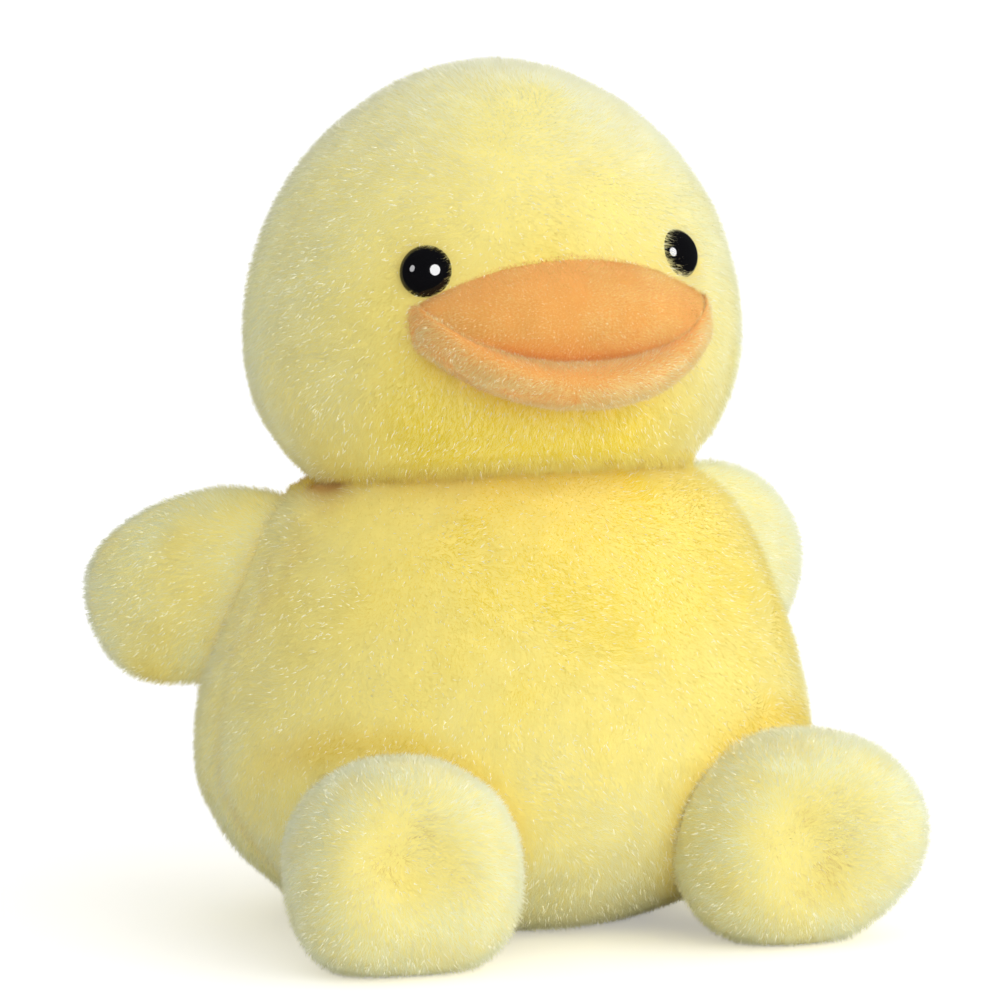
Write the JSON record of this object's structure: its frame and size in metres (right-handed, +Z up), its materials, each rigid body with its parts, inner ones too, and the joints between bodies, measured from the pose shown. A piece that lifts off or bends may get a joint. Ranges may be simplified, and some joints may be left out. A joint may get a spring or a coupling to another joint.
{
  "type": "plush duck",
  "caption": "Soft plush duck that sits, with a big round head, an orange stuffed bill with a rolled lip, domed eyes, mitten wings, stub legs with round feet and a short tail",
  "frame": {"origin": "middle of the flat seat, on the floor, half way between the sides", "axes": "+Z up; the duck faces -Y; its left side is +X"},
  "size_m": [0.1128, 0.1032, 0.1234],
  "materials": {
    "yellow_plush": "matte",
    "belly_plush": "matte",
    "orange_velour": "matte",
    "lip_velour": "matte",
    "filling_fibre": "matte",
    "pellet_cloth": "matte",
    "eye_black": "gloss",
    "washer_white": "satin"
  },
  "bodies": {
    "body": {"body_skin": "belly_plush", "body_filling": "filling_fibre", "pellet_bag": "pellet_cloth"},
    "head": {"head_skin": "yellow_plush", "head_filling": "filling_fibre", "upper_bill_skin": "orange_velour", "upper_bill_filling": "filling_fibre", "lower_bill": "lip_velour", "right_eye": "eye_black", "left_eye": "eye_black", "right_eye_washer": "washer_white", "left_eye_washer": "washer_white"},
    "right_wing": {"right_wing_skin": "yellow_plush", "right_wing_filling": "filling_fibre"},
    "left_wing": {"left_wing_skin": "yellow_plush", "left_wing_filling": "filling_fibre"},
    "right_leg": {"right_leg_skin": "yellow_plush", "right_leg_filling": "filling_fibre"},
    "left_leg": {"left_leg_skin": "yellow_plush", "left_leg_filling": "filling_fibre"},
    "tail": {"tail_skin": "yellow_plush", "tail_filling": "filling_fibre"}
  },
  "joints": [
    {"name": "head_turn", "type": "hinge", "parent": "body", "child": "head", "pos_m": [0, 0.0015, 0.0645], "axis": [0, 0.1564, 0.9877], "range_deg": [-20, 20], "stiffness_Nm_per_rad": 0.15},
    {"name": "right_wing_lift", "type": "hinge", "parent": "body", "child": "right_wing", "pos_m": [-0.027, 0.004, 0.065], "axis": [0, 1, 0], "range_deg": [0, 40], "stiffness_Nm_per_rad": 0.03},
    {"name": "left_wing_lift", "type": "hinge", "parent": "body", "child": "left_wing", "pos_m": [0.027, 0.004, 0.065], "axis": [0, -1, 0], "range_deg": [0, 40], "stiffness_Nm_per_rad": 0.03},
    {"name": "right_leg_lift", "type": "hinge", "parent": "body", "child": "right_leg", "pos_m": [-0.0315, -0.0245, 0.03], "axis": [-1, 0, 0], "range_deg": [0, 30], "stiffness_Nm_per_rad": 0.08},
    {"name": "left_leg_lift", "type": "hinge", "parent": "body", "child": "left_leg", "pos_m": [0.0315, -0.0245, 0.03], "axis": [-1, 0, 0], "range_deg": [0, 30], "stiffness_Nm_per_rad": 0.08},
    {"name": "tail_lift", "type": "hinge", "parent": "body", "child": "tail", "pos_m": [0, 0.033, 0.04], "axis": [1, 0, 0], "range_deg": [0, 20], "stiffness_Nm_per_rad": 0.01}
  ]
}
